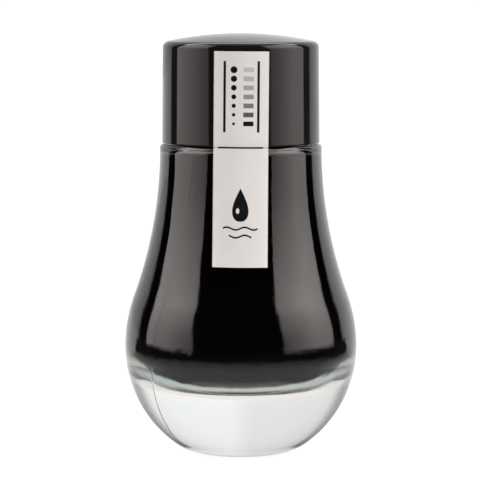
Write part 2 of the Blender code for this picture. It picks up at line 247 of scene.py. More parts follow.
def helix_height(a, z, start_deg, start_z, turns, height):
    """Height of a thread's ridge over the wall it stands on, at angle a and height z."""
    best = 0.0
    deg = math.degrees(a)
    base = (deg - start_deg) % 360.0
    for k in range(int(turns) + 2):
        run = base + 360.0 * k
        if run > 360.0 * turns:
            break
        dz = abs(z - (start_z + PITCH * run / 360.0))
        if dz > ROOT_W / 2:
            continue
        t = min(1.0, (ROOT_W / 2 - dz) / ((ROOT_W - CREST_W) / 2))
        grow = min(1.0, min(run, 360.0 * turns - run) / FADE)
        best = max(best, height * t * t * (3 - 2 * t) * grow * grow * (3 - 2 * grow))
    return best


# ---------------------------------------------------------------- node helpers


class Nodes:
    """Small helper to write node graphs as expressions."""

    def __init__(self, tree):
        self.t = tree

    def new(self, kind, **settings):
        n = self.t.nodes.new(kind)
        for k, v in settings.items():
            setattr(n, k, v)
        return n

    def put(self, socket, value):
        if isinstance(value, bpy.types.NodeSocket):
            self.t.links.new(value, socket)
        else:
            socket.default_value = value

    def math(self, op, a, b=None, c=None, clamp=False):
        n = self.new("ShaderNodeMath", operation=op, use_clamp=clamp)
        self.put(n.inputs[0], a)
        if b is not None:
            self.put(n.inputs[1], b)
        if c is not None:
            self.put(n.inputs[2], c)
        return n.outputs[0]

    def ramp(self, x, x0, x1, y0=0.0, y1=1.0, smooth=True):
        n = self.new("ShaderNodeMapRange",
                     interpolation_type='SMOOTHSTEP' if smooth else 'LINEAR', clamp=True)
        for i, v in enumerate((x, x0, x1, y0, y1)):
            self.put(n.inputs[i], v)
        return n.outputs[0]

    def noise(self, vector, scale, detail=2.0, rough=0.5, distortion=0.0):
        n = self.new("ShaderNodeTexNoise")
        self.put(n.inputs["Vector"], vector)
        n.inputs["Scale"].default_value = scale
        n.inputs["Detail"].default_value = detail
        n.inputs["Roughness"].default_value = rough
        n.inputs["Distortion"].default_value = distortion
        return n.outputs["Fac"]

    def mix(self, fac, a, b):
        n = self.new("ShaderNodeMix", data_type='RGBA')
        self.put(n.inputs[0], fac)
        self.put(n.inputs[6], a)
        self.put(n.inputs[7], b)
        return n.outputs[2]

    def bump(self, height, strength, distance, normal=None):
        n = self.new("ShaderNodeBump")
        n.inputs["Strength"].default_value = strength
        n.inputs["Distance"].default_value = distance
        self.put(n.inputs["Height"], height)
        if normal is not None:
            self.put(n.inputs["Normal"], normal)
        return n.outputs["Normal"]


def new_material(name):
    mat = bpy.data.materials.new(name)
    mat.use_nodes = True
    nodes = Nodes(mat.node_tree)
    shader = mat.node_tree.nodes["Principled BSDF"]
    return mat, nodes, shader


def object_coords(n, scale=(1, 1, 1)):
    """Millimetre coordinates fixed to the piece."""
    tc = n.new("ShaderNodeTexCoord")
    m = n.new("ShaderNodeMapping")
    m.inputs["Scale"].default_value = [s / MM for s in scale]
    n.t.links.new(tc.outputs["Object"], m.inputs["Vector"])
    return m.outputs["Vector"]


# ------------------------------------------------------------------- materials


def glass_material():
    mat, n, s = new_material("flint_glass")
    co = object_coords(n)
    s.inputs["Base Color"].default_value = (0.985, 0.995, 0.99, 1)
    s.inputs["Transmission Weight"].default_value = 1.0
    s.inputs["IOR"].default_value = 1.52
    n.put(s.inputs["Roughness"], n.ramp(n.noise(co, 0.22, 4.0, 0.6), 0.45, 0.8, 0.0, 0.035))
    slow = n.noise(co, 0.18, 1.0, 0.5)
    ripple = n.noise(object_coords(n, (0.55, 0.55, 1.3)), 1.1, 2.0, 0.55)
    sep = n.new("ShaderNodeSeparateXYZ")
    n.t.links.new(co, sep.inputs[0])
    rough = n.ramp(sep.outputs[2], 13.0, 17.0, 0.03, 0.26)     # the foot is smoother
    rough = n.math("ADD", rough, n.ramp(sep.outputs[2], 52.1, 52.7, 0.0, 1.3))
    height = n.math("ADD", n.math("MULTIPLY", slow, 0.7), n.math("MULTIPLY", ripple, rough))
    # orange peel, strongest round the widest part
    peel = n.noise(object_coords(n, (1.0, 1.0, 1.3)), 0.95, 3.0, 0.62)
    belt = n.math("MULTIPLY", n.ramp(sep.outputs[2], 13.0, 15.5),
                  n.ramp(sep.outputs[2], 44.0, 26.0, 0.12, 0.60))
    height = n.math("ADD", height, n.math("MULTIPLY", peel, belt))
    n.put(s.inputs["Normal"], n.bump(height, 0.35, 0.0001))
    vol = n.new("ShaderNodeVolumeAbsorption")
    vol.inputs["Color"].default_value = (0.60, 0.65, 0.62, 1)
    vol.inputs["Density"].default_value = 8.0
    out = [x for x in n.t.nodes if x.type == "OUTPUT_MATERIAL"][0]
    n.t.links.new(vol.outputs[0], out.inputs["Volume"])
    return mat


def ink_wall_material():
    """Ink against the inside of the glass: black, with the weak mirror of that seam and a painted highlight line round
    its lower corner.
    """
    mat, n, s = new_material("ink_against_glass")
    co = object_coords(n)
    tone = n.noise(co, 0.12, 3.0, 0.5)
    n.put(s.inputs["Base Color"], n.mix(tone, (0.0022, 0.0016, 0.0014, 1), (0.0045, 0.0034, 0.003, 1)))
    s.inputs["Roughness"].default_value = 0.35
    s.inputs["Specular IOR Level"].default_value = 0.0
    mirror = n.new("ShaderNodeBsdfAnisotropic")
    mirror.inputs["Color"].default_value = (1.0, 0.97, 0.95, 1)
    high = n.new("ShaderNodeSeparateXYZ")
    n.t.links.new(co, high.inputs[0])
    n.put(mirror.inputs["Roughness"], n.ramp(high.outputs[2], 12.2, 15.0, 0.02, 0.22))
    # painted highlight: where the wall turns under, a pale diffuse line runs round the corner in the glancing band,
    # standing in for the bright streak of light there
    pale = n.new("ShaderNodeBsdfDiffuse")
    pale.inputs["Color"].default_value = (0.90, 1.0, 0.95, 1)
    tilt = n.new("ShaderNodeLayerWeight")
    tilt.inputs["Blend"].default_value = 0.5
    rim = n.math("MULTIPLY", n.ramp(tilt.outputs["Facing"], 0.50, 0.56),
                 n.ramp(tilt.outputs["Facing"], 0.72, 0.60, 0.15, 1.0))
    # the mirror with the painted highlight laid over it, between heights 12.5 and 16 mm
    seam = n.new("ShaderNodeMixShader")
    n.put(seam.inputs[0], n.math("MULTIPLY", rim, n.math(
        "MULTIPLY", n.ramp(high.outputs[2], 12.5, 13.1), n.ramp(high.outputs[2], 16.0, 14.4))))
    n.t.links.new(mirror.outputs[0], seam.inputs[1])
    n.t.links.new(pale.outputs[0], seam.inputs[2])
    fres = n.new("ShaderNodeFresnel")
    fres.inputs["IOR"].default_value = 0.875
    mixer = n.new("ShaderNodeMixShader")
    n.put(mixer.inputs[0], n.ramp(fres.outputs[0], 0.01, 0.9, smooth=False))
    n.t.links.new(s.outputs[0], mixer.inputs[1])
    n.t.links.new(seam.outputs[0], mixer.inputs[2])
    out = [x for x in n.t.nodes if x.type == "OUTPUT_MATERIAL"][0]
    n.t.links.new(mixer.outputs[0], out.inputs["Surface"])
    return mat


def ink_surface_material():
    mat, n, s = new_material("ink_surface")
    co = object_coords(n)
    n.put(s.inputs["Base Color"], n.mix(n.noise(co, 0.4, 3.0), (0.002, 0.0018, 0.002, 1),
                                        (0.006, 0.0055, 0.007, 1)))
    s.inputs["Roughness"].default_value = 0.03
    s.inputs["IOR"].default_value = 1.34
    return mat


def gloss_material():
    mat, n, s = new_material("cap_gloss_black")
    co = object_coords(n)
    haze = n.noise(co, 0.35, 5.0, 0.62)
    n.put(s.inputs["Base Color"], n.mix(haze, (0.0045, 0.0042, 0.0042, 1), (0.010, 0.0095, 0.0095, 1)))
    n.put(s.inputs["Roughness"], n.ramp(haze, 0.35, 0.75, 0.035, 0.10))
    s.inputs["IOR"].default_value = 1.40
    peel = n.noise(co, 1.1, 2.0, 0.5)
    slow = n.noise(co, 0.12, 1.0, 0.5)
    height = n.math("ADD", n.math("MULTIPLY", peel, 0.05), n.math("MULTIPLY", slow, 0.4))
    n.put(s.inputs["Normal"], n.bump(height, 0.25, 0.0001))
    return mat


def sleeve_material():
    mat, n, s = new_material("thread_plastic")
    co = object_coords(n)
    fine = n.noise(co, 6.0, 3.0, 0.6)
    n.put(s.inputs["Base Color"], n.mix(n.noise(co, 0.5, 3.0), (0.014, 0.014, 0.015, 1),
                                        (0.026, 0.026, 0.027, 1)))
    n.put(s.inputs["Roughness"], n.ramp(fine, 0.3, 0.7, 0.36, 0.52))
    n.put(s.inputs["Normal"], n.bump(fine, 0.2, 0.00005))
    return mat


def foam_material():
    mat, n, s = new_material("liner_foam")
    co = object_coords(n)
    cells = n.new("ShaderNodeTexVoronoi", feature='SMOOTH_F1')
    n.put(cells.inputs["Vector"], co)
    cells.inputs["Scale"].default_value = 3.2
    d = cells.outputs["Distance"]
    n.put(s.inputs["Base Color"], n.mix(n.ramp(d, 0.0, 0.6), (0.88, 0.88, 0.86, 1), (0.74, 0.74, 0.71, 1)))
    s.inputs["Roughness"].default_value = 0.75
    s.inputs["Subsurface Weight"].default_value = 0.1
    s.inputs["Subsurface Radius"].default_value = (0.001, 0.001, 0.001)
    n.put(s.inputs["Normal"], n.bump(d, 0.5, 0.0002))
    return mat


def paper_material():
    """Silver-pearl strip with dark generic print, laid out in strip millimetres."""
    mat, n, s = new_material("seal_paper")
    uv = n.new("ShaderNodeUVMap", uv_map="Strip")
    sep = n.new("ShaderNodeSeparateXYZ")
    n.t.links.new(uv.outputs[0], sep.inputs[0])
    x = n.math("MULTIPLY_ADD", sep.outputs[0], 100.0, -50.0)   # across, mm
    z = n.math("MULTIPLY", sep.outputs[1], 100.0)              # height, mm
    soft = 0.045

    def inside_of(distance):
        """1 where distance is negative, with a soft edge."""
        return n.math("MULTIPLY_ADD", distance, -1.0 / soft, 0.5, clamp=True)

    def away(v, centre):
        return n.math("ABSOLUTE", n.math("SUBTRACT", v, centre))

    def rect(cx, cz, w, h):
        dx = n.math("SUBTRACT", away(x, cx), w / 2)
        dz = n.math("SUBTRACT", away(z, cz), h / 2)
        return inside_of(n.math("MAXIMUM", dx, dz))

    def frame_line(cx, cz, w, h, t):
        dx = n.math("SUBTRACT", away(x, cx), w / 2)
        dz = n.math("SUBTRACT", away(z, cz), h / 2)
        d = n.math("ABSOLUTE", n.math("MAXIMUM", dx, dz))
        return inside_of(n.math("SUBTRACT", d, t / 2))

    def union(*masks):
        out = masks[0]
        for m in masks[1:]:
            out = n.math("MAXIMUM", out, m)
        return out

    # upper length: a tone scale between two rules
    marks = [rect(-2.79, 61.7, 0.42, 11.9), rect(2.86, 61.7, 0.42, 11.9)]
    for i in range(7):
        cz = 57.2 + 1.5 * i
        d = n.math("SQRT", n.math("ADD", n.math("POWER", away(x, -1.25), 2.0),
                                  n.math("POWER", away(z, cz), 2.0)))
        marks.append(inside_of(n.math("SUBTRACT", d, 0.24 + 0.056 * i)))
        marks.append(n.math("MULTIPLY", rect(1.2, cz, 1.7, 0.78), 1.0 - 0.115 * i))
    # the rule printed where the cap meets the glass
    marks.append(rect(-0.05, LABEL_CUT_Z, 7.6, 0.26))
    # lower length: an ink drop over two ripples
    t = n.math("DIVIDE", n.math("SUBTRACT", z, 40.9), 5.6)
    tc = n.math("MINIMUM", n.math("MAXIMUM", t, 0.0), 1.0)
    wide = n.math("MULTIPLY", n.math("MULTIPLY", n.math("POWER", tc, 0.5),
                                     n.math("POWER", n.math("SUBTRACT", 1.0, tc), 1.15)), 3.75)
    drop = n.math("MULTIPLY", inside_of(n.math("SUBTRACT", away(x, 0.0), wide)),
                  n.math("MULTIPLY", inside_of(n.math("SUBTRACT", 0.0, t)),
                         inside_of(n.math("SUBTRACT", t, 1.0))))
    shine = n.math("SQRT", n.math("ADD", n.math("POWER", away(x, -0.45), 2.0),
                                  n.math("POWER", n.math("MULTIPLY", away(z, 42.7), 0.6), 2.0)))
    drop = n.math("MULTIPLY", drop, n.math("SUBTRACT", 1.0, inside_of(n.math("SUBTRACT", shine, 0.28))))
    marks.append(drop)
    for zz, half in ((39.8, 2.9), (38.5, 1.9)):
        wave = n.math("MULTIPLY", n.math("SINE", n.math("MULTIPLY", x, 2.1)), 0.22)
        d = n.math("ABSOLUTE", n.math("SUBTRACT", n.math("SUBTRACT", z, zz), wave))
        marks.append(n.math("MULTIPLY", inside_of(n.math("SUBTRACT", d, 0.15)),
                            inside_of(n.math("SUBTRACT", away(x, 0.0), half))))
    ink = union(*marks)

    co = object_coords(n)
    fibre = n.noise(object_coords(n, (2.2, 2.2, 0.5)), 2.4, 3.0, 0.6)
    cloud = n.noise(co, 0.25, 3.0, 0.5)
    paper = n.mix(n.math("MULTIPLY_ADD", cloud, 0.5, n.math("MULTIPLY", fibre, 0.5)),
                  (0.715, 0.695, 0.68, 1), (0.81, 0.79, 0.775, 1))
    # darker along the two long edges
    edge = n.math("SUBTRACT", LABEL_W / 2, away(x, 0.0))
    edge_dark = n.ramp(edge, 0.0, 0.35)
    paper = n.mix(edge_dark, (0.58, 0.57, 0.56, 1), paper)
    # painted shade: a little greyer towards the lower end, against the extra light the upward-facing lower length
    # catches
    paper = n.mix(n.ramp(z, 54.0, 36.0, 0.0, 0.10), paper, (0.05, 0.05, 0.05, 1))
    n.put(s.inputs["Base Color"], n.mix(ink, paper, (0.006, 0.006, 0.007, 1)))
    bare = n.math("SUBTRACT", 1.0, ink)
    n.put(s.inputs["Metallic"], n.math("MULTIPLY", bare, 0.12))
    n.put(s.inputs["Specular IOR Level"], n.math("MULTIPLY_ADD", bare, 0.38, 0.12))
    n.put(s.inputs["Roughness"], n.math("MULTIPLY_ADD", fibre, 0.2, 0.30))
    n.put(s.inputs["Normal"], n.bump(fibre, 0.18, 0.00004))
    return mat


def floor_material(name, albedo, glow, faded):
    """White board that glows a little, so that shadows on it stay soft."""
    mat, n, s = new_material(name)
    co = object_coords(n)
    n.put(s.inputs["Base Color"], n.mix(n.noise(co, 0.02, 3.0), (albedo - 0.01,) * 3 + (1,),
                                        (albedo + 0.01,) * 3 + (1,)))
    s.inputs["Roughness"].default_value = 0.9
    s.inputs["Specular IOR Level"].default_value = 0.1
    s.inputs["Emission Color"].default_value = (1, 1, 1, 1)
    sep = n.new("ShaderNodeSeparateXYZ")
    n.t.links.new(co, sep.inputs[0])
    away = n.math("SQRT", n.math("ADD", n.math("POWER", sep.outputs[0], 2.0),
                                 n.math("POWER", sep.outputs[1], 2.0)))
    if not faded:
        # painted contact shadow: a close dark ring on the floor under the heel
        n.put(s.inputs["Emission Strength"], n.ramp(away, 7.0, 8.9, 0.30 * glow, glow))
        return mat
    # less and less light towards the front and side edges
    reach = n.math("SQRT", n.math("ADD", n.math("POWER", sep.outputs[0], 2.0),
                                  n.math("POWER", n.math("MINIMUM", sep.outputs[1], 0.0), 2.0)))
    front = n.ramp(sep.outputs[1], 40.0, 90.0)
    fall = n.math("MAXIMUM", n.ramp(reach, 45.0, 118.0, 1.0, 0.27), front)
    # painted shade: dimmer close round the bottle, as its own shadow seen in the gloss
    fall = n.math("MULTIPLY", fall, n.ramp(away, 22.0, 70.0, 0.56, 1.0))
    # seen through the glass: the bottle's own shade round the foot
    shade = n.math("MAXIMUM", n.ramp(away, 20.0, 42.0, 0.02, 0.90), n.ramp(away, 8.0, 7.0, 0.0, 0.5))
    shade = n.math("MAXIMUM", shade, n.ramp(sep.outputs[1], 0.0, -8.0, 0.0, 0.95))
    path = n.new("ShaderNodeLightPath")
    through = path.outputs["Is Transmission Ray"]
    level = n.math("ADD", n.math("MULTIPLY", fall, n.math("SUBTRACT", 1.0, through)),
                   n.math("MULTIPLY", shade, through))
    n.put(s.inputs["Emission Strength"], n.math("MULTIPLY", level, glow))
    return mat


# ---------------------------------------------------------------------- pieces


def seam_angle(z):
    """Where the seam stands at height z, in degrees; it drifts round as it goes down."""
    return -90.0 - SEAM_DEG - SEAM_TWIST * (39.0 - z) - 0.8 * max(0.0, 6.0 - z)


def base_angles(count):
    """Even angles with extra ones over the two seams, as they stand at the ledge."""
    out = set(round(a, 7) for a in even(count))
    for side in (0.0, 180.0):
        centre = math.radians(seam_angle(LEDGE_Z) + side)
        for k in (-1.6, -1.0, -0.66, -0.33, 0.0, 0.33, 0.66, 1.0, 1.6):
            out.add(round((centre + math.radians(SEAM_HALF_DEG * k)) % (2 * math.pi), 7))
    return sorted(out)


def drift(z):
    """How far the rings are turned at height z, so that one column follows the seam."""
    return math.radians(seam_angle(min(z, LEDGE_Z)) - seam_angle(LEDGE_Z))


def seam_height(a, z):
    best = 0.0
    for side in (0.0, 180.0):
        centre = math.radians(seam_angle(z) + side)
        d = math.degrees(abs((a - centre + math.pi) % (2 * math.pi) - math.pi))
        t = max(0.0, 1.0 - d / SEAM_HALF_DEG)
        best = max(best, SEAM_H * t * t * (3 - 2 * t))
    top = max(0.0, min(1.0, (LEDGE_Z - 0.3 - z) / 1.5))
    foot = 0.4 + 0.6 * max(0.0, min(1.0, (17.0 - z) / 4.0))
    return best * foot * top * max(0.0, min(1.0, z / 1.0))


def make_glass():
    skin = outside()
    hollow = inside()

    def warp_out(a, r, z):
        if z > LEDGE_Z + 1.5 and abs(r - NECK_R) < 1e-6:
            return r + helix_height(a, z, 0.0, NECK_START_Z, NECK_TURNS,
                                    NECK_CREST_R - NECK_R), z
        if z < LEDGE_Z and r > 9.0:
            # pull the belly in by the seam's height so that the box is kept
            keep = -SEAM_H if z > 0.5 else 0.0
            return r + seam_height(a, z) + keep * max(0.0, min(1.0, (z - 0.5) / 2.0)), z
        return r, z

    def warp_in(a, r, z):
        if z > CEILING_Z - 1.0:
            return r, z
        d = wobble(a, r, z)
        k = max(0.0, min(1.0, (CEILING_Z - 1.0 - z) / 4.0)) * d
        flat = max(0.0, min(1.0, r / 6.0))
        return r + k * flat, z - k * (1.0 - flat)

    angles = base_angles(144)

    # two half-sections warped by their own rules, then turned as one
    profile = [(r, z, True) for r, z in skin] + [(r, z, False) for r, z in hollow]
    clean = []
    for p in profile:
        if not clean or math.hypot(p[0] - clean[-1][0], p[1] - clean[-1][1]) > 1e-4:
            clean.append(p)
    verts, faces, rings = [], [], []
    for r, z, outer in clean:
        if r < 1e-6:
            rings.append([len(verts)])
            verts.append((0.0, 0.0, z if outer else warp_in(0.0, 0.0, z)[1]))
            continue
        ring = []
        turn = drift(z) if outer else 0.0
        for a in angles:
            a += turn
            rr, zz = warp_out(a, r, z) if outer else warp_in(a, r, z)
            ring.append(len(verts))
            verts.append((rr * math.cos(a), rr * math.sin(a), zz))
        rings.append(ring)
    n = len(angles)
    for a, b in zip(rings, rings[1:]):
        for k in range(n):
            k2 = (k + 1) % n
            if len(a) == 1:
                faces.append((a[0], b[k2], b[k]))
            elif len(b) == 1:
                faces.append((a[k], a[k2], b[0]))
            else:
                faces.append((a[k], a[k2], b[k2], b[k]))
    return outward(mesh_object("glass_body", verts, faces, glass_material()))


def make_ink():
    """Fills the cavity; it overlaps the glass wall by a hair, as wet glass does."""
    bite = 0.03
    top = [(0.0, INK_TOP_Z), (2.5, INK_TOP_Z), (4.4, INK_TOP_Z + 0.03), (5.3, INK_TOP_Z + 0.12),
           (5.9, INK_TOP_Z + 0.32), (6.3, INK_TOP_Z + 0.62), (6.5, INK_TOP_Z + 0.9),
           (BORE_R + bite, INK_TOP_Z + 1.05)]
    profile = joined(top, inside(-bite, 3))

    def warp(a, r, z):
        if z > CEILING_Z - 1.0:
            return r, z
        k = max(0.0, min(1.0, (CEILING_Z - 1.0 - z) / 4.0)) * wobble(a, r, z)
        flat = max(0.0, min(1.0, r / 6.0))
        return r + k * flat, z - k * (1.0 - flat)

    ob = outward(lathe("ink", profile, even(160), [ink_wall_material(), ink_surface_material()], warp))
    for p in ob.data.polygons:
        if p.center.z > (INK_TOP_Z - 0.2) * MM and p.normal.z > 0.3:
            p.material_index = 1
    return ob


def make_shell():
    dome_c = CAP_TOP_Z - CAP_DOME_R
    edge_r = CAP_R_TOP - CAP_EDGE_R
    edge_z = dome_c + math.sqrt((CAP_DOME_R - CAP_EDGE_R) ** 2 - edge_r ** 2)
    lean = math.degrees(math.atan2(edge_z - dome_c, edge_r))
    dome = arc(0.0, dome_c, CAP_DOME_R, 90.0, lean, 20)
    edge = arc(edge_r, edge_z, CAP_EDGE_R, lean, 0.0, 18)
    lip = arc(CAP_R_BOTTOM - CAP_LIP_R, CAP_BOTTOM_Z + CAP_LIP_R, CAP_LIP_R, 0.0, -90.0, 6)
    # short end rows keep the wall's reflections straight up to both edges
    low, high = (lip[0][0], lip[0][1] + 0.06), (edge[-1][0], edge[-1][1] - 0.06)
    side = joined([edge[-1]], line(high, low, 24), [lip[0]])
    lip_in = arc(SHELL_IN_R + CAP_LIP_R, CAP_BOTTOM_Z + CAP_LIP_R, CAP_LIP_R, 270.0, 180.0, 4)
    wall = line(lip_in[-1], (SHELL_IN_R, SHELL_ROOF_Z - SHELL_ROOF_FILLET), 6)
    roof = arc(SHELL_IN_R - SHELL_ROOF_FILLET, SHELL_ROOF_Z - SHELL_ROOF_FILLET,
               SHELL_ROOF_FILLET, 0.0, 90.0, 6)
    profile = joined(dome, edge, side, lip, lip_in, wall, roof, line(roof[-1], (0.0, SHELL_ROOF_Z), 4))
    return outward(lathe("cap_overcap", profile, even(144), gloss_material()))


def make_insert():
    top_z = SHELL_ROOF_Z - 0.3
    corner = SHELL_ROOF_FILLET
    top = arc(INSERT_R - corner, top_z - corner, corner, 90.0, 0.0, 6)
    start_z = NECK_START_Z + PITCH * CAP_LEAD / 360.0 - CAP_DROP
    low, high = start_z - 1.0, start_z + PITCH * CAP_TURNS + 1.0
    profile = joined(
        line((0.0, top_z), top[0], 4), top,
        line(top[-1], (INSERT_R, RIB_TOP_Z), 2),
        line((INSERT_R, RIB_TOP_Z), (INSERT_R, RIB_BOTTOM_Z), 12),
        [(INSERT_R, INSERT_BOTTOM_Z + 0.3), (INSERT_R - 0.25, INSERT_BOTTOM_Z),
         (INSERT_BORE_R + 0.25, INSERT_BOTTOM_Z), (INSERT_BORE_R, INSERT_BOTTOM_Z + 0.4)],
        line((INSERT_BORE_R, INSERT_BOTTOM_Z + 0.4), (INSERT_BORE_R, low), 3),
        line((INSERT_BORE_R, low), (INSERT_BORE_R, high), 44),
        line((INSERT_BORE_R, high), (INSERT_BORE_R, INSERT_PANEL_Z), 4),
        line((INSERT_BORE_R, INSERT_PANEL_Z), (0.0, INSERT_PANEL_Z), 4))
    half = math.degrees(RIB_W / 2 / INSERT_R)
    angles = set(round(a, 7) for a in even(144))
    for i in range(RIB_COUNT):
        centre = 360.0 * (i + 0.5) / RIB_COUNT
        for k in (-1.25, -1.0, -0.6, 0.6, 1.0, 1.25):
            angles.add(round(math.radians((centre + half * k) % 360.0), 7))

    def warp(a, r, z):
        if abs(r - INSERT_BORE_R) < 1e-6 and z > INSERT_BOTTOM_Z + 0.5:
            return r - helix_height(a, z, CAP_LEAD, start_z, CAP_TURNS,
                                    INSERT_BORE_R - CAP_CREST_R), z
        if abs(r - INSERT_R) < 1e-6 and RIB_BOTTOM_Z - 1e-6 < z < RIB_TOP_Z + 1e-6:
            pitch = 360.0 / RIB_COUNT
            d = abs((math.degrees(a) - pitch / 2 + pitch / 2) % pitch - pitch / 2)
            t = max(0.0, min(1.0, (1.25 * half - d) / (0.25 * half)))
            ends = max(0.0, min(1.0, (RIB_TOP_Z - z) / 0.8)) * max(0.0, min(1.0, (z - RIB_BOTTOM_Z) / 0.4))
            return r + (SHELL_IN_R - 0.05 - INSERT_R) * t * ends, z
        return r, z

    return outward(lathe("cap_sleeve", profile, sorted(angles), sleeve_material(), warp, sharp=50))


def make_liner():
    b = RIM_Z + 0.3
    e = 0.2
    profile = joined([(0.0, b + LINER_T), (4.0, b + LINER_T)],
                     arc(LINER_R - e, b + LINER_T - e, e, 90.0, 0.0, 4),
                     arc(LINER_R - e, b + e, e, 0.0, -90.0, 4), [(4.0, b), (0.0, b)])
    # the ring pressed in by the rim
    ring_in, ring_out = BORE_R, NECK_R

    def warp(a, r, z):
        return r, z

    extra = line((ring_out + 0.5, b), (ring_in - 0.5, b), 14)
    shaped = []
    for r, z in extra:
        t = max(0.0, 1.0 - abs(r - (ring_in + ring_out) / 2) / 1.4)
        shaped.append((r, z + 0.12 * t * t * (3 - 2 * t)))
    profile = joined([(0.0, b + LINER_T), (4.0, b + LINER_T)],
                     arc(LINER_R - e, b + LINER_T - e, e, 90.0, 0.0, 4),
                     arc(LINER_R - e, b + e, e, 0.0, -90.0, 4), shaped, [(3.0, b), (0.0, b)])
    return outward(lathe("cap_liner_disc", profile, even(96), foam_material(), warp))


def cap_r(z):
    t = (z - CAP_BOTTOM_Z) / (CAP_TOP_Z - CAP_EDGE_R - CAP_BOTTOM_Z)
    return CAP_R_BOTTOM + (CAP_R_TOP - CAP_R_BOTTOM) * t


def make_strip(name, radius_at, bottom, top, rows, cols, material):
    """A thin closed strip that hugs the surface, edges eased down onto it."""
    lift, thick = 0.025, 0.09
    verts, uvs, faces = [], [], []

    def point(i, j, outer):
        z = bottom + (top - bottom) * j / rows
        x = LABEL_W * (i / cols - 0.5)
        tip = (z - bottom) * 0.0
        shift = LABEL_LEAN * (z - LABEL_CUT_Z)
        slant = -LABEL_LEAN * x                # the ends are square to the strip
        zz = z + slant + tip
        r0 = radius_at(z)
        eased = min(1.0, (LABEL_W / 2 - abs(x)) / 0.12, 1.0)
        r = r0 + lift + (thick * (0.55 + 0.45 * math.sqrt(max(0.0, eased))) if outer else 0.0)
        a = -math.pi / 2 + (x + shift) / r0
        verts.append((r * math.cos(a), r * math.sin(a), zz))
        uvs.append((x / 100.0 + 0.5, z / 100.0))
        return len(verts) - 1

    xs = range(cols + 1)
    outer = [[point(i, j, True) for i in xs] for j in range(rows + 1)]
    inner = [[point(i, j, False) for i in xs] for j in range(rows + 1)]
    for j in range(rows):
        for i in range(cols):
            faces.append((outer[j][i], outer[j][i + 1], outer[j + 1][i + 1], outer[j + 1][i]))
            faces.append((inner[j][i], inner[j + 1][i], inner[j + 1][i + 1], inner[j][i + 1]))
        faces.append((outer[j][0], outer[j + 1][0], inner[j + 1][0], inner[j][0]))
        faces.append((outer[j][cols], inner[j][cols], inner[j + 1][cols], outer[j + 1][cols]))
    for i in range(cols):
        faces.append((outer[0][i], inner[0][i], inner[0][i + 1], outer[0][i + 1]))
        faces.append((outer[rows][i], outer[rows][i + 1], inner[rows][i + 1], inner[rows][i]))
    return outward(mesh_object(name, verts, faces, material, sharp=45, uvs=uvs))


glass = make_glass()
ink = make_ink()
shell = make_shell()
insert = make_insert()
liner = make_liner()
paper = paper_material()
cap_strip = make_strip("seal_strip_cap", cap_r, LABEL_CUT_Z + 0.025, LABEL_TOP_Z, 60, 36, paper)
glass_strip = make_strip("seal_strip_glass", lambda z: glass_r(z) - SEAM_H * 0.5,
                         LABEL_BOTTOM_Z, LABEL_CUT_Z - 0.025, 96, 36, paper)

for piece, node, body, slot in (
        (glass, "glass_bottle", "bottle", "glass"),
        (ink, "ink_fill", "bottle", "ink"),
        (glass_strip, "bottle_label", "bottle", "seal_paper"),
        (shell, "cap_shell", "cap", "cap_gloss"),
        (insert, "cap_insert", "cap", "cap_sleeve"),
        (cap_strip, "cap_label", "cap", "seal_paper"),
        (liner, "cap_liner", "liner", "liner_foam")):
    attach(piece, body)
    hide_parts(node)

# ----------------------------------------------------------------------- stage
# a white board that ends a little way in front of the bottle and to its sides,
# large soft boxes left and right, a white wall behind and a dark room in front


def flat_stage(name, points, height, material):
    mesh = bpy.data.meshes.new(name)
    mesh.from_pydata([(x, y, 0.0) for x, y in points], [], [list(range(len(points)))])
    mesh.materials.append(material)
    ob = bpy.data.objects.new(name, mesh)
    bpy.context.scene.collection.objects.link(ob)
    ob.location.z = height
    return ob


def make_floor():
    """The floor the camera sees."""
    ring = [(4.0 * math.cos(2 * math.pi * i / 96), 4.0 * math.sin(2 * math.pi * i / 96))
            for i in range(96)]
    ob = flat_stage("studio_floor", ring, -0.00002,
                    floor_material("studio_floor", 0.12, 0.95, False))
    ob.visible_glossy = False
    ob.visible_transmission = False
    ob.visible_diffuse = False
    ob.visible_shadow = False


def make_board():
    """The white board that shows in the gloss and through the glass."""
    reach, straight, rest = 0.118, 0.075, 1.6
    pts = [(reach * math.cos(math.pi + math.pi * i / 48), reach * math.sin(math.pi + math.pi * i / 48))
           for i in range(49)]
    pts += [(reach, straight), (rest * 1.5, rest), (-rest * 1.5, rest), (-reach, straight)]
    ob = flat_stage("studio_board", pts, -0.00003,
                    floor_material("studio_board", 0.08, 0.90, True))
    ob.visible_camera = False


def make_table():
    """The dark table under the board; it hides the feet of the soft boxes."""
    ring = [(1.49 * math.cos(2 * math.pi * i / 96), 1.49 * math.sin(2 * math.pi * i / 96))
            for i in range(96)]
    mat, n, s = new_material("dark_table")
    n.put(s.inputs["Base Color"], n.mix(n.noise(object_coords(n), 0.01, 3.0), (0.010, 0.010, 0.010, 1),
                                        (0.016, 0.016, 0.016, 1)))
    s.inputs["Roughness"].default_value = 1.0
    s.inputs["Specular IOR Level"].default_value = 0.0
    ob = flat_stage("studio_table", ring, -0.0615, mat)
    ob.visible_camera = False


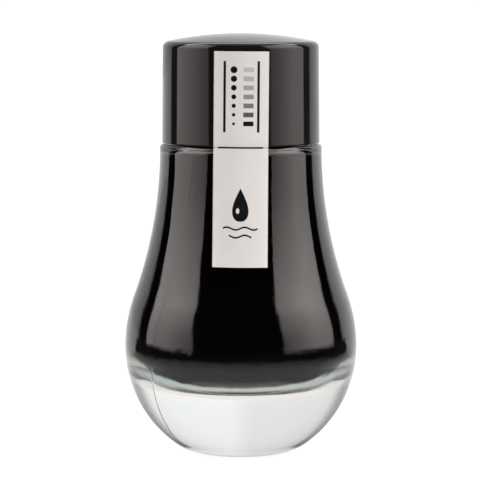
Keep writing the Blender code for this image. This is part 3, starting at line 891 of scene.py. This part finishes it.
def make_world():
    world = bpy.data.worlds.new("studio")
    world.use_nodes = True
    bpy.context.scene.world = world
    n = Nodes(world.node_tree)
    back = [x for x in n.t.nodes if x.type == "BACKGROUND"][0]
    out = [x for x in n.t.nodes if x.type == "OUTPUT_WORLD"][0]
    tc = n.new("ShaderNodeTexCoord")
    sep = n.new("ShaderNodeSeparateXYZ")
    n.t.links.new(tc.outputs["Generated"], sep.inputs[0])
    dx, dy, dz = sep.outputs
    side = n.math("MULTIPLY", n.math("ARCTAN2", n.math("ABSOLUTE", dx), n.math("MULTIPLY", dy, -1.0)),
                  180.0 / math.pi)                       # 0 front, 180 back
    up = n.math("MULTIPLY", n.math("ARCSINE", dz), 180.0 / math.pi)
    right = n.ramp(dx, -0.1, 0.1)
    # the wall behind
    shifted = n.math("MULTIPLY_ADD", right, 2.0, side)    # the right one ends sooner
    wall = n.math("MULTIPLY", n.ramp(shifted, 120.0, 126.0), n.math("MULTIPLY_ADD", right, 0.21, 0.87))
    # the two large soft boxes, brighter towards the back
    # their front edges lean: later on the left and sooner on the right, more so higher up
    lean = n.math("MULTIPLY", n.ramp(up, -4.0, 20.0, 1.6, 5.2, smooth=False), n.math("MULTIPLY_ADD", right, 2.0, -1.0))
    box = n.math("MULTIPLY", n.ramp(n.math("ADD", side, lean), 45.0, 47.0),
                 n.ramp(n.math("MULTIPLY_ADD", right, 2.8, side), 108.0, 106.0))
    box = n.math("MULTIPLY", box, n.ramp(up, 62.0, 56.0))
    box = n.math("MULTIPLY", box, n.ramp(up, -8.0, -6.0))
    glow = n.math("MULTIPLY", n.ramp(side, 46.0, 80.0, n.ramp(up, 3.0, 20.0, 1.0, 1.3), 2.35, smooth=False),
                  n.ramp(side, 82.0, 106.0, 1.0, n.math("MULTIPLY_ADD", right, -0.22, 1.02)))
    glow = n.math("MULTIPLY", glow, n.ramp(up, 3.0, 24.0, 0.87, 1.50, smooth=False))
    glow = n.math("MULTIPLY", glow, n.ramp(up, 20.0, 28.0, 1.0, 1.20))
    glow = n.math("MULTIPLY", glow, n.math("MULTIPLY_ADD", right, 0.15, 1.0))
    box = n.math("MULTIPLY", box, glow)
    # overhead light
    top = n.math("MULTIPLY", n.ramp(up, 62.0, 74.0), 0.7)
    # a bar light above and behind, level from left to right: the thin bright line at the cap's top edge
    pitch = n.math("MULTIPLY", n.math("ARCTAN2", dz, dy), 180.0 / math.pi)
    strip = n.math("MULTIPLY", n.ramp(pitch, 59.0, 62.0), n.math(
        "MULTIPLY", n.ramp(pitch, 74.0, 70.0, 0.0, 7.5), n.ramp(n.math("ABSOLUTE", dx), 0.74, 0.66)))
    total = n.math("MAXIMUM", n.math("MAXIMUM", wall, box), n.math("MAXIMUM", top, strip))
    total = n.math("MAXIMUM", total, 0.002)
    path = n.new("ShaderNodeLightPath")
    # through the glass the room is pale all round, so the foot looks clear from every side
    through = path.outputs["Is Transmission Ray"]
    pale = n.math("MAXIMUM", n.ramp(side, 115.0, 136.0, 0.42, 1.10), n.ramp(side, 112.0, 100.0, 0.0, 0.75))
    pale = n.math("MULTIPLY", pale, n.ramp(up, 3.0, 18.0, 1.0, 0.94, smooth=False))
    pale = n.math("MULTIPLY", pale, n.math("MULTIPLY_ADD", right, 0.13, 0.89))
    total = n.math("ADD", n.math("MULTIPLY", total, n.math("SUBTRACT", 1.0, through)),
                   n.math("MULTIPLY", pale, through))
    seen = n.math("MULTIPLY_ADD", path.outputs["Is Camera Ray"], -1.0, 1.0)
    strength = n.math("ADD", n.math("MULTIPLY", total, seen),
                      n.math("MULTIPLY", path.outputs["Is Camera Ray"], 1.1))
    # the soft boxes are a touch warm
    warm = n.math("MULTIPLY", n.math("MINIMUM", box, 1.0), n.math("SUBTRACT", 1.0, through))
    n.put(back.inputs["Color"], n.mix(warm, (1, 1, 1, 1), (1.07, 0.995, 0.97, 1)))
    n.put(back.inputs["Strength"], strength)
    n.t.links.new(back.outputs[0], out.inputs["Surface"])
    return world


def area_light(name, place, target, size, power, glossy=False):
    data = bpy.data.lights.new(name, 'AREA')
    data.shape = 'RECTANGLE'
    data.size, data.size_y = size
    data.energy = power
    ob = bpy.data.objects.new(name, data)
    ob.location = place
    ob.rotation_euler = (Vector(target) - Vector(place)).to_track_quat('-Z', 'Y').to_euler()
    ob.visible_camera = False
    ob.visible_glossy = glossy
    ob.visible_transmission = glossy
    bpy.context.scene.collection.objects.link(ob)
    return ob


make_floor()
make_board()
make_table()
make_world()
area_light("front_fill", (0.2, -0.98, 0.08), (0, 0, 0.05), (0.6, 0.6), 6.1)

camera_data = bpy.data.cameras.new("camera")
camera_data.sensor_width = 36.0
camera_data.lens = 2751.7 * 36.0 / 480.0
camera_data.clip_start, camera_data.clip_end = 0.01, 20.0
camera = bpy.data.objects.new("camera", camera_data)
camera.location = (0.0, -0.472, 0.0832)
aim = Vector((-0.00015, 0.0, 0.03640))
camera.rotation_euler = (aim - camera.location).to_track_quat('-Z', 'Y').to_euler()
bpy.context.scene.collection.objects.link(camera)
bpy.context.scene.camera = camera
bpy.context.scene.view_settings.view_transform = 'Standard'
bpy.context.scene.view_settings.look = 'None'
